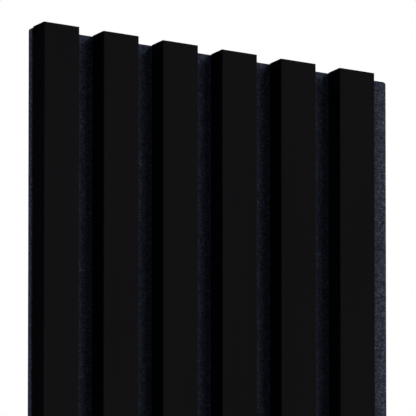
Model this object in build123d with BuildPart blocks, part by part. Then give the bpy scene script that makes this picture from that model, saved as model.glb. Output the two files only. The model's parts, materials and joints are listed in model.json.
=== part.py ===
"""Slat wall panel: wrapped slats bonded side by side to one sheet of felt.

Millimetres. The origin is the centre of the face that lies on the wall. +Y goes into the wall,
+Z runs up the slats, and +X runs across them, to the right as seen from the room. The slats face
the room, along -Y.
"""

import os

from build123d import *

# Driving dimensions
slat_count = 6
slat_width = 30.0
slat_thickness = 16.0
slat_length = 2400.0
slat_gap = 20.0
slat_edge_radius = 1.0  # rounding of the two front edges that the wrap folds over
felt_thickness = 5.0
felt_left_lip = 1.0  # bare felt to the left of the first slat
felt_end_setback = 0.5  # how far the felt stops short of each end of the slats
felt_corner_radius = 2.0

# The felt is whole pitches wide, so the slats keep their rhythm where two panels butt together:
# the bare felt to the right of the last slat is what the left lip leaves of one gap.
slat_pitch = slat_width + slat_gap
felt_width = slat_count * slat_pitch
felt_length = slat_length - 2 * felt_end_setback
first_slat_left = felt_left_lip - felt_width / 2

os.makedirs("parts", exist_ok=True)

# The felt sheet, with its back on the wall
with BuildPart() as felt_backing:
    with BuildSketch(Plane.XZ):
        RectangleRounded(felt_width, felt_length, felt_corner_radius)
    extrude(amount=felt_thickness)
felt_backing.part.label = "felt_backing"
export_step(felt_backing.part, "parts/felt_backing.step")

# The slats, cut square from one wrapped profile, with their backs on the felt
for number in range(1, slat_count + 1):
    slat_left = first_slat_left + (number - 1) * slat_pitch
    with BuildPart() as slat:
        with BuildSketch(Plane.XY.offset(-slat_length / 2)) as section:
            with Locations((slat_left, -felt_thickness)):
                Rectangle(slat_width, slat_thickness, align=(Align.MIN, Align.MAX))
            front_corners = section.vertices().group_by(Axis.Y)[0]
            fillet(front_corners, slat_edge_radius)
        extrude(amount=slat_length)
    slat.part.label = f"slat_{number}"
    export_step(slat.part, f"parts/slat_{number}.step")
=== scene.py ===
"""Slat wall panel, dressed for its photograph.

The slats keep their solids, which have the true section, and get a matt black wrap with plain cut
ends. The felt backing is modelled again as cloth: a soft sheet with rounded cut edges and an uneven
face. Lengths are metres in the frame of the solids: +Y goes into the wall, +Z runs up the slats,
and the room is on the -Y side.
"""

import json
import logging
import math
from collections.abc import Iterable
from dataclasses import dataclass, field
from enum import Enum

import bpy
import numpy as np
from mathutils import Matrix, Vector, noise

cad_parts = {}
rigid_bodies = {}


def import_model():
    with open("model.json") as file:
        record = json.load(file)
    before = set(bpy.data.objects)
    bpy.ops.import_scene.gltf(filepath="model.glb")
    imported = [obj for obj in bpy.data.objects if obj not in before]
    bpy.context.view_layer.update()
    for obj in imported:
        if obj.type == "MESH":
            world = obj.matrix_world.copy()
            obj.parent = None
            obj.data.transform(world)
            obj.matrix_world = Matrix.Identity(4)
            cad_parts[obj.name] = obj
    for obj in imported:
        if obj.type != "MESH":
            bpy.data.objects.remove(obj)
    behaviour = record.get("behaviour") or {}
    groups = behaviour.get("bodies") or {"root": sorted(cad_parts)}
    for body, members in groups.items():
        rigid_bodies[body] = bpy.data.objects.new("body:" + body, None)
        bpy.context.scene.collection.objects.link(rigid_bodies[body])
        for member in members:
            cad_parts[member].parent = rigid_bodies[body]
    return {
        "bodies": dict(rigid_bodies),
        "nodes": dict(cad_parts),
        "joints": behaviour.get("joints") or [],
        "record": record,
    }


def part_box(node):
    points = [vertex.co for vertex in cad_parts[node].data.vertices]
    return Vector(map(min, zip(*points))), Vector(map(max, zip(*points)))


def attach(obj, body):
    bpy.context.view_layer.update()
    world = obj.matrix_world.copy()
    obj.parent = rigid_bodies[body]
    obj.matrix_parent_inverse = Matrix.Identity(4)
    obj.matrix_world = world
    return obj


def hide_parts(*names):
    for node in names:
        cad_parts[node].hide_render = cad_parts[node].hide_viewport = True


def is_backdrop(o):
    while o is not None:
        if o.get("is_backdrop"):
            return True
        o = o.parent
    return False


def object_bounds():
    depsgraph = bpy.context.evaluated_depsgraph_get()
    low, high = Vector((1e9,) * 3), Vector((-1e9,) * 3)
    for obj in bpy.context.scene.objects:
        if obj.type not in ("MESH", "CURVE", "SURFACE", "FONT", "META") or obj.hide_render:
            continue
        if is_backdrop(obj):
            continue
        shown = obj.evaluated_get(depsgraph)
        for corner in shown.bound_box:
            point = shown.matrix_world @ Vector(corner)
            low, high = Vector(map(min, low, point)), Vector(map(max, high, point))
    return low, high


LOG = logging.getLogger("slat_wall_panel")
MM = 0.001

Tone = tuple[float, float, float]
Span = tuple[float, float]
Socket = bpy.types.NodeSocket
Value = float | tuple[float, ...] | Socket

UNIT: Span = (0.0, 1.0)
WHITE: Tone = (1.0, 1.0, 1.0)
COOL: Tone = (0.68, 1.08, 1.40)
LILAC: Tone = (0.86, 0.80, 1.26)


class Slot(Enum):
    """The finishes that the record names."""

    WRAP = "slat_wrap"
    FELT = "felt"


class Effect(Enum):
    """The surface effects that several finishes share."""

    TONE_DRIFT = "tone_drift"
    FIBRE_LAY = "fibre_lay"


class Axis(Enum):
    """The panel's directions, as a node's outputs name them."""

    ACROSS = "X"
    DEEP = "Y"
    UP = "Z"


class Rise(Enum):
    """How a ramp runs between its ends, as the Map Range node names it."""

    STRAIGHT = "LINEAR"
    EASED = "SMOOTHSTEP"


@dataclass(frozen=True)
class Drift:
    """How a tone drifts over a surface: how small, how strong and how finely broken up."""

    scale: float
    spread: float
    fineness: float = 0.5


@dataclass(frozen=True)
class Fibres:
    """How fibres lie in a surface: how small, how many times longer than apart, and how thick."""

    scale: float
    stretch: float
    width: float


def opaque(tone: Tone) -> tuple[float, ...]:
    """Gives a tone as a colour that can't be seen through."""
    return (*tone, 1.0)


@dataclass(frozen=True)
class Wiring:
    """Writes one node tree, node by node: a material's, a world's or a group's."""

    tree: bpy.types.NodeTree

    # Several sockets of a Mix node share a name, so those for colours go by number.
    MIX_SHARE, MIX_FIRST, MIX_SECOND, MIX_RESULT = 0, 6, 7, 2

    def feed(self, node: bpy.types.Node, inputs: dict[str | int, Value]) -> None:
        """Sets or links a node's inputs.

        Args:
            node: The node.
            inputs: Each input's name or number, with its value or the socket that feeds it.
        """
        for name, value in inputs.items():
            if isinstance(value, Socket):
                self.tree.links.new(value, node.inputs[name])
            else:
                node.inputs[name].default_value = value

    def node(
        self, kind: str, inputs: dict[str | int, Value] | None = None, **settings: object
    ) -> bpy.types.Node:
        """Adds one node.

        Args:
            kind: The node's type name.
            inputs: Each input's name or number, with its value or the socket that feeds it.
            settings: Properties of the node itself, such as its operation.

        Returns:
            The new node.
        """
        made = self.tree.nodes.new(kind)
        for name, setting in settings.items():
            setattr(made, name, setting)
        self.feed(made, inputs or {})
        return made

    def math(self, operation: str, *values: Value) -> Socket:
        """Adds a Math node with these inputs, numbers or sockets, and gives its result's socket."""
        made = self.node("ShaderNodeMath", dict(enumerate(values)), operation=operation)
        return made.outputs[0]

    def ramp(self, value: Socket, start: Span, end: Span = UNIT, rise: Rise = Rise.STRAIGHT) -> Socket:
        """Maps a value from one span to another, and holds it there past the ends.

        Args:
            value: The socket that holds the value.
            start: The span that the value has.
            end: The span that it gets.
            rise: How it runs between the ends.

        Returns:
            The socket that holds the result.
        """
        spans = {"From Min": start[0], "From Max": start[1], "To Min": end[0], "To Max": end[1]}
        made = self.node("ShaderNodeMapRange", {"Value": value, **spans}, interpolation_type=rise.value)
        return made.outputs[0]

    def tint(self, colour: Value, factor: Socket) -> Socket:
        """Multiplies a colour by a factor that changes over the surface."""
        made = self.node("ShaderNodeVectorMath", {0: colour, "Scale": factor}, operation="SCALE")
        return made.outputs["Vector"]

    def blend(self, share: Socket, first: Tone | Socket, second: Tone | Socket) -> Socket:
        """Mixes two colours.

        Args:
            share: The socket that says how much of the second colour shows, from 0 to 1.
            first: The colour at 0, or the socket that holds it.
            second: The colour at 1, or the socket that holds it.

        Returns:
            The socket that holds the mixed colour.
        """
        ends = [colour if isinstance(colour, Socket) else opaque(colour) for colour in (first, second)]
        inputs = {self.MIX_SHARE: share, self.MIX_FIRST: ends[0], self.MIX_SECOND: ends[1]}
        return self.node("ShaderNodeMix", inputs, data_type="RGBA").outputs[self.MIX_RESULT]

    def extent(self, vector: Socket, axis: Axis) -> Socket:
        """Gives how far a place or a direction reaches along an axis, to either side."""
        parts = self.node("ShaderNodeSeparateXYZ", {0: vector}).outputs
        return self.math("ABSOLUTE", parts[axis.value])

    def in_sight(self) -> Socket:
        """Picks out the rays that show a place to the eye, straight on, mirrored or through glass.

        Returns:
            The socket that holds 1 for these rays and 0 for the others.
        """
        paths = self.node("ShaderNodeLightPath").outputs
        indirect = self.math("MAXIMUM", paths["Is Glossy Ray"], paths["Is Transmission Ray"])
        return self.math("MAXIMUM", paths["Is Camera Ray"], indirect)


@dataclass
class EffectShelf:
    """Makes each shared effect once, and places it in every finish that asks."""

    drift_detail: float = 3.0
    noise_span: Span = (0.25, 0.75)  # where most of the noise lies
    fibre_turns: tuple[float, ...] = (8.0, 38.0, 71.0, 97.0, 129.0, 158.0)
    fibre_detail: float = 0.0
    fibre_bend: float = 1.2
    fibre_course: float = 0.5  # the level of the noise that a fibre follows
    fibre_strength: Span = (0.36, 0.66)  # from no fibre to a whole one
    made: dict[Effect, bpy.types.NodeTree] = field(default_factory=dict)

    def drift(self, wiring: Wiring, spot: Socket, drift: Drift) -> Socket:
        """Places a tone drift.

        Args:
            wiring: The material's wiring.
            spot: The place on the surface.
            drift: How the tone drifts.

        Returns:
            A factor that wanders about 1.
        """
        inputs = {"Vector": spot, "Scale": drift.scale, "Fineness": drift.fineness, "Spread": drift.spread}
        group = self._group(Effect.TONE_DRIFT)
        return wiring.node("ShaderNodeGroup", inputs, node_tree=group).outputs["Factor"]

    def fibres(self, wiring: Wiring, spot: Socket, fibres: Fibres) -> Socket:
        """Places a lay of fibres.

        Args:
            wiring: The material's wiring.
            spot: The place on the surface.
            fibres: How the fibres lie.

        Returns:
            A height from 0, between the fibres, to 1, on top of one.
        """
        inputs = {"Vector": spot, "Scale": fibres.scale, "Stretch": fibres.stretch, "Width": fibres.width}
        group = self._group(Effect.FIBRE_LAY)
        return wiring.node("ShaderNodeGroup", inputs, node_tree=group).outputs["Height"]

    def _group(self, effect: Effect) -> bpy.types.NodeTree:
        """Finds or makes an effect's node group.

        Args:
            effect: The effect.

        Returns:
            Its node group.
        """
        if effect not in self.made:
            makers = {Effect.TONE_DRIFT: self._tone_drift, Effect.FIBRE_LAY: self._fibre_lay}
            self.made[effect] = makers[effect]()
        return self.made[effect]

    @staticmethod
    def _open(
        effect: Effect, numbers: tuple[str, ...], output: str
    ) -> tuple[Wiring, dict[str, Socket], bpy.types.Node]:
        """Starts an empty group with its sockets.

        Args:
            effect: The effect that the group holds.
            numbers: The names of its inputs, apart from the place on the surface.
            output: The name of its one value output.

        Returns:
            The group's wiring, its input sockets by name, and its output node.
        """
        tree = bpy.data.node_groups.new(effect.value, "ShaderNodeTree")
        tree.interface.new_socket(name="Vector", in_out="INPUT", socket_type="NodeSocketVector")
        for name in numbers:
            tree.interface.new_socket(name=name, in_out="INPUT", socket_type="NodeSocketFloat")
        tree.interface.new_socket(name=output, in_out="OUTPUT", socket_type="NodeSocketFloat")
        wiring = Wiring(tree)
        sources = wiring.node("NodeGroupInput").outputs
        given = {name: sources[name] for name in ("Vector", *numbers)}
        return wiring, given, wiring.node("NodeGroupOutput")

    def _tone_drift(self) -> bpy.types.NodeTree:
        """Makes a factor that wanders about 1 as a tone drifts over a surface.

        Returns:
            The node group.
        """
        wiring, given, out = self._open(Effect.TONE_DRIFT, ("Scale", "Fineness", "Spread"), "Factor")
        cloud = wiring.node(
            "ShaderNodeTexNoise",
            {
                "Vector": given["Vector"],
                "Scale": given["Scale"],
                "Detail": self.drift_detail,
                "Roughness": given["Fineness"],
            },
        )
        low, high = self.noise_span
        gain = 2.0 / (high - low)
        swing = wiring.math("MULTIPLY_ADD", cloud.outputs[0], gain, -gain * (low + high) / 2)
        wiring.feed(out, {"Factor": wiring.math("MULTIPLY_ADD", swing, given["Spread"], 1.0)})
        return wiring.tree

    def _fibre_lay(self) -> bpy.types.NodeTree:
        """Makes fine fibres that lie in all directions of a sheet, as a height from 0 to 1.

        Each fibre follows the middle line of a drawn-out noise, and comes and goes with another.

        Returns:
            The node group.
        """
        wiring, given, out = self._open(Effect.FIBRE_LAY, ("Scale", "Stretch", "Width"), "Height")
        drawn_out = wiring.node("ShaderNodeCombineXYZ", {0: 1.0, 1: 1.0, 2: given["Stretch"]})
        top = None
        for turn in self.fibre_turns:
            lay = wiring.node(
                "ShaderNodeMapping",
                {
                    "Vector": given["Vector"],
                    "Rotation": (0.0, math.radians(turn), 0.0),
                    "Scale": drawn_out.outputs[0],
                },
                vector_type="TEXTURE",
            )
            strokes = wiring.node(
                "ShaderNodeTexNoise",
                {
                    "Vector": lay.outputs[0],
                    "Scale": given["Scale"],
                    "Detail": self.fibre_detail,
                    "Distortion": self.fibre_bend,
                },
            )
            parted = wiring.node("ShaderNodeSeparateColor", {0: strokes.outputs["Color"]})
            course, strength, _ = parted.outputs
            aside = wiring.math("ABSOLUTE", wiring.math("SUBTRACT", course, self.fibre_course))
            ridge = wiring.math("SUBTRACT", 1.0, wiring.math("DIVIDE", aside, given["Width"]))
            showing = wiring.ramp(strength, self.fibre_strength)
            fibre = wiring.math("MULTIPLY", wiring.math("MAXIMUM", ridge, 0.0), showing)
            top = fibre if top is None else wiring.math("MAXIMUM", top, fibre)
        wiring.feed(out, {"Height": top})
        return wiring.tree


def surface(name: str) -> tuple[bpy.types.Material, Wiring, bpy.types.Node]:
    """Starts a material with one Principled shader.

    Args:
        name: The material's name.

    Returns:
        The material, its wiring and its shader.
    """
    material = bpy.data.materials.new(name)
    material.use_nodes = True
    shader = material.node_tree.nodes["Principled BSDF"]
    return material, Wiring(material.node_tree), shader


@dataclass(frozen=True)
class WrapFinish:
    """Matt black foil wrapped round a slat, with plain dyed board at the cut ends."""

    name: str = "matt_black_wrap"
    slot: Slot = Slot.WRAP
    tone: Tone = (0.0061, 0.0060, 0.0066)
    roughness: float = 0.58
    roughness_swing: float = 0.12
    shine: float = 0.0004
    cloud: Drift = Drift(scale=7.0, spread=0.05)
    streak: Drift = Drift(scale=320.0, spread=0.05)
    streak_stretch: float = 120.0
    grain: Drift = Drift(scale=4200.0, spread=0.30, fineness=0.6)
    grain_depth: float = 0.10 * MM
    grain_relief: float = 0.5
    cut_end_facing: float = 0.7  # a surface that faces this squarely up or down is a cut end
    board_tone: Tone = (0.0170, 0.0162, 0.0156)
    board_fibres: Fibres = Fibres(scale=1500.0, stretch=4.0, width=0.05)
    board_shades: Span = (0.6, 1.4)
    board_extra_roughness: float = 0.3

    def make(self, effects: EffectShelf) -> bpy.types.Material:
        """Makes the material.

        Args:
            effects: The shared effects.

        Returns:
            The wrap's material.
        """
        material, wiring, shader = surface(self.name)
        place = wiring.node("ShaderNodeTexCoord").outputs
        spot = place["Object"]
        drawn = (1.0, 1.0, 1.0 / self.streak_stretch)
        along = wiring.node("ShaderNodeMapping", {"Vector": spot, "Scale": drawn}).outputs[0]
        cloud = effects.drift(wiring, spot, self.cloud)
        streak = effects.drift(wiring, along, self.streak)
        grain = effects.drift(wiring, spot, self.grain)
        drifts = wiring.math("MULTIPLY", wiring.math("MULTIPLY", cloud, streak), grain)
        foil = wiring.tint(self.tone, drifts)

        fibres = effects.fibres(wiring, spot, self.board_fibres)
        board = wiring.tint(self.board_tone, wiring.ramp(fibres, UNIT, self.board_shades))
        upward = wiring.extent(place["Normal"], Axis.UP)
        cut_end = wiring.math("GREATER_THAN", upward, self.cut_end_facing)

        least = self.roughness - self.roughness_swing
        smooth = wiring.math("MULTIPLY_ADD", grain, self.roughness_swing, least)
        relief = wiring.node(
            "ShaderNodeBump",
            {"Strength": self.grain_relief, "Distance": self.grain_depth, "Height": grain},
        )
        wiring.feed(
            shader,
            {
                "Base Color": wiring.blend(cut_end, foil, board),
                "Roughness": wiring.math("MULTIPLY_ADD", cut_end, self.board_extra_roughness, smooth),
                "Normal": relief.outputs[0],
                "Specular IOR Level": self.shine,
            },
        )
        return material


@dataclass(frozen=True)
class FeltFinish:
    """Charcoal felt with a blue cast, of pale and dark fibres that lie in mottled tufts.

    A blue is added all over as painted shade colour, for the bluer shade in the grooves.
    The side edges and the cut faces are painted lighter: partly paler cut fibres, partly painted light.
    """

    name: str = "charcoal_felt"
    slot: Slot = Slot.FELT
    tone: Tone = (0.0140, 0.0157, 0.0236)
    pale_tone: Tone = (0.0840, 0.0872, 0.1085)
    # Painted shade colour: a blue added all over the felt, for the bluer shade in the grooves.
    painted_shade_blue: Tone = (0.0000, 0.0016, 0.0100)
    tufts: Drift = Drift(scale=950.0, spread=1.2, fineness=0.85)
    tuft_draw: float = 0.58  # below 1, the tufts are longer across the sheet than up it
    tuft_contrast: float = 1.5
    patches: Drift = Drift(scale=160.0, spread=0.10)
    fine_fibres: Fibres = Fibres(scale=1700.0, stretch=9.0, width=0.09)
    fine_share: float = 0.8
    long_fibres: Fibres = Fibres(scale=850.0, stretch=9.0, width=0.055)
    dark_fibres: Fibres = Fibres(scale=1000.0, stretch=9.0, width=0.07)
    dark_share: float = 0.8
    dark_shift: tuple[float, float, float] = (0.7, 0.4, 0.9)  # keeps them off the pale fibres' lay
    edge_depth: float = 11.0 * MM
    # Painted light: lighter towards each side edge, over the strip outside the outer slats; partly paler
    # fibres at the cut.
    edge_pale_and_painted_light: Span = (0.84, 1.44)  # from this far inside a side edge to the edge itself
    # Painted light: the cut faces are painted lighter than the front and back; partly paler cut fibres.
    cut_pale_and_painted_light: Span = (1.9, 1.0)  # from the cut edges to the faces
    fibre_height: float = 0.5
    relief_depth: float = 0.25 * MM
    relief: float = 0.35
    roughness: Span = (0.98, 0.86)
    diffuse_roughness: float = 0.9
    shine: float = 0.01
    sheen: float = 0.10
    sheen_roughness: float = 0.6
    sheen_tint: Tone = (0.55, 0.60, 0.80)

    def make(self, effects: EffectShelf, half_width: float) -> bpy.types.Material:
        """Makes the material.

        Args:
            effects: The shared effects.
            half_width: How far the sheet reaches to either side of its middle.

        Returns:
            The felt's material.
        """
        material, wiring, shader = surface(self.name)
        place = wiring.node("ShaderNodeTexCoord").outputs
        spot = place["Object"]
        drawn = (self.tuft_draw, 1.0, 1.0)
        along = wiring.node("ShaderNodeMapping", {"Vector": spot, "Scale": drawn}).outputs[0]
        tufts = effects.drift(wiring, along, self.tufts)
        patches = effects.drift(wiring, spot, self.patches)
        fine = effects.fibres(wiring, spot, self.fine_fibres)
        long = effects.fibres(wiring, spot, self.long_fibres)
        pale = wiring.math("MAXIMUM", wiring.math("MULTIPLY", fine, self.fine_share), long)
        aside = wiring.node("ShaderNodeVectorMath", {0: spot, 1: self.dark_shift}, operation="ADD")
        dark = effects.fibres(wiring, aside.outputs[0], self.dark_fibres)

        # Painted light: the felt gets lighter towards each side edge and on its cut faces, partly paler
        # cut fibres.
        edge_zone = (half_width - self.edge_depth, half_width)
        edge = wiring.ramp(wiring.extent(spot, Axis.ACROSS), edge_zone, self.edge_pale_and_painted_light)
        cut = wiring.ramp(wiring.extent(place["Normal"], Axis.DEEP), UNIT, self.cut_pale_and_painted_light)
        mottle = wiring.math("MULTIPLY", wiring.math("POWER", tufts, self.tuft_contrast), patches)
        veil = wiring.math("MULTIPLY_ADD", dark, -self.dark_share, 1.0)
        shade = wiring.math("MULTIPLY", mottle, veil)
        # The painted light of the side edges and cut faces goes in here, with the mottle.
        lift = wiring.math("MULTIPLY", shade, wiring.math("MULTIPLY", edge, cut))
        lit = wiring.tint(wiring.blend(pale, self.tone, self.pale_tone), lift)
        # Painted shade colour: a blue added all over, for the bluer shade in the grooves.
        colour = wiring.node("ShaderNodeVectorMath", {0: lit, 1: self.painted_shade_blue}, operation="ADD")

        height = wiring.math("MULTIPLY_ADD", pale, self.fibre_height, tufts)
        relief = wiring.node(
            "ShaderNodeBump",
            {"Strength": self.relief, "Distance": self.relief_depth, "Height": height},
        )
        wiring.feed(
            shader,
            {
                "Base Color": colour.outputs[0],
                "Roughness": wiring.ramp(pale, UNIT, self.roughness),
                "Normal": relief.outputs[0],
                "Diffuse Roughness": self.diffuse_roughness,
                "Specular IOR Level": self.shine,
                "Sheen Weight": self.sheen,
                "Sheen Roughness": self.sheen_roughness,
                "Sheen Tint": opaque(self.sheen_tint),
            },
        )
        return material


@dataclass(frozen=True)
class FloorFinish:
    """Pale studio floor that runs out into the white background.

    It throws less light back at the panel than it shows to the eye.
    """

    name: str = "pale_floor"
    tone: Tone = (0.82, 0.82, 0.83)
    bounce_tone: Tone = (0.25, 0.25, 0.25)
    cloud: Drift = Drift(scale=2.0, spread=0.01)
    roughness: float = 0.9
    shine: float = 0.1
    fade: Span = (1.2, 6.5)
    white_strength: float = 1.0

    def make(self, effects: EffectShelf) -> bpy.types.Material:
        """Makes the material.

        Args:
            effects: The shared effects.

        Returns:
            The floor's material.
        """
        material, wiring, shader = surface(self.name)
        spot = wiring.node("ShaderNodeTexCoord").outputs["Object"]
        seen = wiring.in_sight()
        tone = wiring.blend(seen, self.bounce_tone, self.tone)
        wiring.feed(
            shader,
            {
                "Base Color": wiring.tint(tone, effects.drift(wiring, spot, self.cloud)),
                "Roughness": self.roughness,
                "Specular IOR Level": self.shine,
            },
        )
        away = wiring.node("ShaderNodeVectorMath", {0: spot}, operation="LENGTH").outputs["Value"]
        share = wiring.math("MULTIPLY", wiring.ramp(away, self.fade, rise=Rise.EASED), seen)
        white = wiring.node("ShaderNodeEmission", {"Strength": self.white_strength})
        shown = wiring.node("ShaderNodeMixShader", {0: share, 1: shader.outputs[0], 2: white.outputs[0]})
        wiring.feed(wiring.tree.nodes["Material Output"], {"Surface": shown.outputs[0]})
        return material


@dataclass
class SlatRow:
    """The slats, side by side, each on its own solid."""

    slats: list[bpy.types.Object]
    finish: WrapFinish = WrapFinish()

    @classmethod
    def from_frame(cls, frame: dict) -> "SlatRow":
        """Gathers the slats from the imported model, which are the pieces that the record wraps.

        Args:
            frame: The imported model.

        Returns:
            The row, from left to right.
        """
        pieces = frame["record"]["subparts"]
        wrapped = [p["node"] for p in pieces if p["material_slot"] == cls.finish.slot.value]
        return cls([frame["nodes"][name] for name in sorted(wrapped)])

    def names(self) -> list[str]:
        """Gives the slats' names, from left to right."""
        return [slat.name for slat in self.slats]

    def seats(self) -> list[Span]:
        """Gives each slat's left and right side, where it lies on the felt."""
        boxes = [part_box(name) for name in self.names()]
        return [(low.x, high.x) for low, high in boxes]

    def dress(self, effects: EffectShelf) -> None:
        """Wraps every slat.

        Args:
            effects: The shared effects.
        """
        wrap = self.finish.make(effects)
        for slat in self.slats:
            slat.data.materials.clear()
            slat.data.materials.append(wrap)


@dataclass
class FeltSheet:
    """The felt backing, as one soft sheet that fills the box of its solid.

    Its front lies flat where the slats are bonded to it, and is a little uneven elsewhere, as its
    back is all over. Its cut edges are rounded and stray a little from their line.
    """

    low: Vector
    high: Vector
    seats: list[Span]
    name: str = "felt_sheet"
    corner_radius: float = 2.0 * MM
    edge_softness: float = 0.18 * MM
    cell: float = 5.0 * MM
    near_edge_mm: tuple[float, ...] = (0.0, 0.03, 0.08, 0.18, 0.5, 1.2, 2.0, 3.2)
    edge_rows: int = 4
    unevenness: float = 0.16 * MM
    lump: float = 11.0 * MM
    front_field: float = 3.0
    back_field: float = 9.0
    held_margin: float = 3.0 * MM
    cut_wander: float = 0.02 * MM
    cut_wave: float = 16.0 * MM
    cut_field: float = 0.0
    finish: FeltFinish = FeltFinish()

    def _stations(self, half: float) -> np.ndarray:
        """Spaces the mesh lines across the sheet, closer near its edges.

        Args:
            half: Half of the sheet's size in that direction.

        Returns:
            The places of the lines, from -half to half.
        """
        rim = np.array(self.near_edge_mm) * MM
        inner = half - rim[-1]
        middle = np.linspace(-inner, inner, round(2 * inner / self.cell) + 1)
        return np.concatenate([rim[:-1] - half, middle, half - rim[-2::-1]])

    def _plan(self) -> tuple[np.ndarray, np.ndarray, np.ndarray]:
        """Lays out the sheet's mesh lines flat, with rounded corners.

        Returns:
            X and Z of each crossing, and its distance from the sheet's outline.
        """
        half_x, half_z = (self.high.x - self.low.x) / 2, (self.high.z - self.low.z) / 2
        x, z = np.meshgrid(self._stations(half_x), self._stations(half_z), indexing="ij")
        past_x = np.abs(x) - (half_x - self.corner_radius)
        past_z = np.abs(z) - (half_z - self.corner_radius)
        further = np.maximum(past_x, past_z)
        inside = self.corner_radius - further
        corner = (past_x > 0) & (past_z > 0)
        pull = np.zeros(x.shape)
        pull[corner] = 1 - further[corner] / np.hypot(past_x[corner], past_z[corner])
        x = x - np.sign(x) * pull * past_x
        z = z - np.sign(z) * pull * past_z
        near = np.clip(1 - inside / self.corner_radius, 0, 1)
        slack = self.cut_wander * near * self._lumps(x, z, self.cut_wave, self.cut_field)
        return x * (1 - slack / half_x), z * (1 - slack / half_z), inside

    @staticmethod
    def _lumps(x: np.ndarray, z: np.ndarray, size: float, level: float) -> np.ndarray:
        """Gives smooth lumps over the sheet.

        Args:
            x: Places across the sheet.
            z: Places up the sheet.
            size: How far apart the lumps are.
            level: Where the field of lumps is cut, so that each use has one of its own.

        Returns:
            Heights from about 0 to 1.
        """
        places = zip(x.ravel() / size, z.ravel() / size)
        swings = [noise.noise(Vector((a, level, b))) for a, b in places]
        return (np.array(swings).reshape(x.shape) + 1) / 2

    def _bare(self, x: np.ndarray) -> np.ndarray:
        """Says how far the felt lies free of the slats.

        Args:
            x: Places across the sheet.

        Returns:
            A share for each place, from 0 under a slat to 1 in the open.
        """
        apart = np.full(x.shape, np.inf)
        for left, right in self.seats:
            apart = np.minimum(apart, np.maximum(left - x, x - right))
        return np.clip(apart / self.held_margin, 0.0, 1.0)

    @staticmethod
    def _faces(across: int, up: int) -> tuple[np.ndarray, np.ndarray]:
        """Joins the mesh lines of both faces, and lists the outline.

        A face is split from its first vertex, so each one starts where its split runs towards the
        nearest corner of the sheet. No sliver is left where the corners are rounded.

        Args:
            across: How many lines run up the sheet.
            up: How many lines run across it.

        Returns:
            The faces of the front and then the back, and the outline's vertex numbers.
        """
        number = np.arange(across * up).reshape(across, up)
        corners = [number[:-1, :-1], number[1:, :-1], number[1:, 1:], number[:-1, 1:]]
        front = np.stack(corners, axis=-1)
        right_half = np.arange(across - 1) >= (across - 1) / 2
        upper_half = np.arange(up - 1) >= (up - 1) / 2
        turned = right_half[:, None] != upper_half[None, :]
        front[turned] = np.roll(front[turned], 1, axis=-1)
        front = front.reshape(-1, len(corners))
        back = np.roll(front[:, ::-1], 1, axis=-1) + number.size
        outline = np.concatenate(
            [number[:-1, 0], number[-1, :-1], number[:0:-1, -1], number[0, :0:-1]]
        )
        return np.concatenate([front, back]), outline

    def _closed(self, front: np.ndarray, back: np.ndarray) -> tuple[np.ndarray, np.ndarray]:
        """Joins the two faces of the sheet by its cut edge.

        Args:
            front: The front face's points, line by line.
            back: The back face's points, line by line.

        Returns:
            The points and the faces of the closed sheet.
        """
        faces, outline = self._faces(*front.shape[:2])
        points = [front.reshape(-1, 3), back.reshape(-1, 3)]
        first, last = points[0][outline], points[1][outline]
        count = len(points[0])
        rings = [outline]
        for row in range(1, self.edge_rows):
            share = row / self.edge_rows
            points.append(first * (1 - share) + last * share)
            rings.append(np.arange(len(outline)) + 2 * count + (row - 1) * len(outline))
        rings.append(outline + count)
        strips = [
            np.stack([near, far, np.roll(far, -1), np.roll(near, -1)], axis=1)
            for near, far in zip(rings, rings[1:])
        ]
        return np.concatenate(points), np.concatenate([faces, *strips])

    def build(self) -> bpy.types.Object:
        """Models the sheet as one closed mesh.

        Returns:
            The felt, in place on its body.
        """
        x, z, inside = self._plan()
        fall = np.clip(self.edge_softness - inside, 0.0, None)
        roll = self.edge_softness - np.sqrt(np.maximum(self.edge_softness**2 - fall**2, 0.0))
        sag = self.unevenness * self._bare(x) * self._lumps(x, z, self.lump, self.front_field)
        give = self.unevenness * self._lumps(x, z, self.lump, self.back_field)
        front = np.stack([x, self.low.y + roll + sag, z], axis=-1)
        back = np.stack([x, self.high.y - roll - give, z], axis=-1)
        points, faces = self._closed(front, back)

        mesh = bpy.data.meshes.new(self.name)
        mesh.from_pydata(points.tolist(), [], faces.tolist())
        mesh.shade_smooth()
        felt = bpy.data.objects.new(self.name, mesh)
        bpy.context.scene.collection.objects.link(felt)
        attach(felt, "root")
        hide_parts("felt_backing")
        return felt

    def dress(self, felt: bpy.types.Object, slats: Iterable[str], effects: EffectShelf) -> None:
        """Gives the sheet its finish.

        Args:
            felt: The sheet.
            slats: The names of the slats that it is bonded to; not used.
            effects: The shared effects.
        """
        felt.data.materials.append(self.finish.make(effects, half_width=self.high.x))


def bearing(azimuth: float, elevation: float) -> Vector:
    """Points from the panel to something round it.

    Args:
        azimuth: Degrees round the panel: 0 is straight in front, 90 is to its right.
        elevation: Degrees above the horizon.

    Returns:
        The unit vector that points there.
    """
    a, e = math.radians(azimuth), math.radians(elevation)
    return Vector((math.sin(a) * math.cos(e), -math.cos(a) * math.cos(e), math.sin(e)))


@dataclass(frozen=True)
class Softlight:
    """A broad, far lamp that lights every part of the panel alike.

    At level 1 it shows a colour that faces it as the colour is written.
    """

    name: str
    azimuth: float
    elevation: float
    spread: float
    level: float
    cast: Tone = WHITE

    def place(self) -> None:
        """Hangs the lamp where its angles say, turned to the panel."""
        lamp = bpy.data.lights.new(self.name, "SUN")
        lamp.angle = math.radians(self.spread)
        lamp.energy = math.pi * self.level
        lamp.color = self.cast
        holder = bpy.data.objects.new(self.name, lamp)
        holder.rotation_mode = "QUATERNION"
        holder.rotation_quaternion = bearing(self.azimuth, self.elevation).to_track_quat("Z", "Y")
        bpy.context.scene.collection.objects.link(holder)


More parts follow.
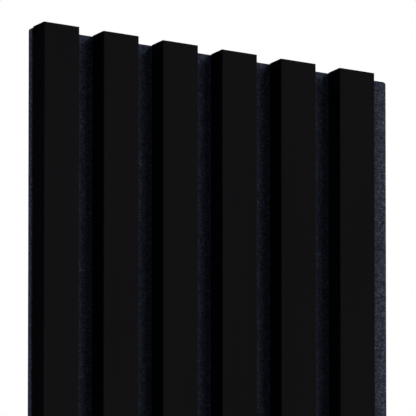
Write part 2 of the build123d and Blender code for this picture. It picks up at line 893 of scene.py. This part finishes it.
@dataclass
class Studio:
    """The pale floor, the white background and the lamps."""

    floor_level: float
    floor_radius: float = 7.0
    floor_sides: int = 96
    surround: float = 0.03
    backdrop: float = 1.0
    lamps: tuple[Softlight, ...] = (
        Softlight("key_lamp_1", azimuth=28.0, elevation=27.0, spread=24.0, level=0.424),
        Softlight("key_lamp_2", azimuth=41.0, elevation=27.0, spread=24.0, level=0.424),
        Softlight("key_lamp_3", azimuth=54.0, elevation=27.0, spread=24.0, level=0.424),
        Softlight("fill_lamp", azimuth=-35.0, elevation=10.0, spread=60.0, level=0.04, cast=COOL),
        Softlight("side_lamp", azimuth=262.0, elevation=10.0, spread=12.0, level=0.09, cast=LILAC),
        Softlight("back_lamp", azimuth=155.0, elevation=30.0, spread=40.0, level=0.5),
    )
    finish: FloorFinish = FloorFinish()

    def build(self, effects: EffectShelf) -> None:
        """Sets the stage up.

        Args:
            effects: The shared effects.
        """
        self._floor(effects)
        self._background()
        for lamp in self.lamps:
            lamp.place()
        bpy.context.scene.view_settings.view_transform = "Standard"

    def _floor(self, effects: EffectShelf) -> None:
        """Lays a round floor under the panel's lower end.

        Args:
            effects: The shared effects.
        """
        turns = np.linspace(0.0, 2 * math.pi, self.floor_sides, endpoint=False)
        rim = [(self.floor_radius * math.cos(t), self.floor_radius * math.sin(t), 0.0) for t in turns]
        mesh = bpy.data.meshes.new("floor")
        mesh.from_pydata(rim, [], [tuple(range(len(rim)))])
        mesh.materials.append(self.finish.make(effects))
        floor = bpy.data.objects.new("floor", mesh)
        floor.location.z = self.floor_level
        bpy.context.scene.collection.objects.link(floor)
        floor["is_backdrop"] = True

    def _background(self) -> None:
        """Shows the camera a white background, and keeps the room round the panel dim."""
        world = bpy.data.worlds.new("studio")
        world.use_nodes = True
        wiring = Wiring(world.node_tree)
        strength = wiring.ramp(wiring.in_sight(), UNIT, (self.surround, self.backdrop))
        wiring.feed(wiring.tree.nodes["Background"], {"Color": opaque(WHITE), "Strength": strength})
        bpy.context.scene.world = world


@dataclass(frozen=True)
class PhotoCamera:
    """The photograph's view: from the left and below, through a very long lens.

    It is placed by one corner of the panel, the first slat's front left one at its upper end, and by
    the pixel where the photograph shows that corner.
    """

    azimuth: float = -30.325
    elevation: float = -15.065
    lens_mm: float = 1600.0
    sensor_mm: float = 36.0
    picture_px: float = 416.0
    corner_px: Span = (44.08, 21.34)
    corner_depth: float = 13.4479

    def place(self, corner: Vector) -> None:
        """Sets the camera up.

        Args:
            corner: The corner of the panel that the pixel shows.
        """
        back = bearing(self.azimuth, self.elevation)
        zenith = Vector((0.0, 0.0, 1.0))
        right = zenith.cross(back).normalized()
        up = back.cross(right)
        middle = self.picture_px / 2
        pixel = self.corner_depth * self.sensor_mm / self.lens_mm / self.picture_px
        spot = corner + back * self.corner_depth
        spot -= right * (self.corner_px[0] - middle) * pixel
        spot -= up * (middle - self.corner_px[1]) * pixel
        turn = Matrix((right, up, back)).transposed()

        camera = bpy.data.cameras.new("photo_camera")
        camera.lens = self.lens_mm
        camera.sensor_width = self.sensor_mm
        holder = bpy.data.objects.new("photo_camera", camera)
        holder.matrix_world = Matrix.Translation(spot) @ turn.to_4x4()
        bpy.context.scene.collection.objects.link(holder)
        bpy.context.scene.camera = holder


def main() -> None:
    logging.basicConfig(level=logging.INFO, format="%(message)s")
    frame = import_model()
    solid_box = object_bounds()
    effects = EffectShelf()

    row = SlatRow.from_frame(frame)
    row.dress(effects)

    sheet = FeltSheet(*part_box("felt_backing"), seats=row.seats())
    felt = sheet.build()
    sheet.dress(felt, row.names(), effects)

    for piece in (*row.slats, felt):
        LOG.info("%s: %s, %d faces", piece.name, piece.data.materials[0].name, len(piece.data.polygons))

    low, high = solid_box
    first_left, _ = row.seats()[0]
    Studio(floor_level=low.z).build(effects)
    PhotoCamera().place(Vector((first_left, low.y, high.z)))


if __name__ == "__main__":
    main()
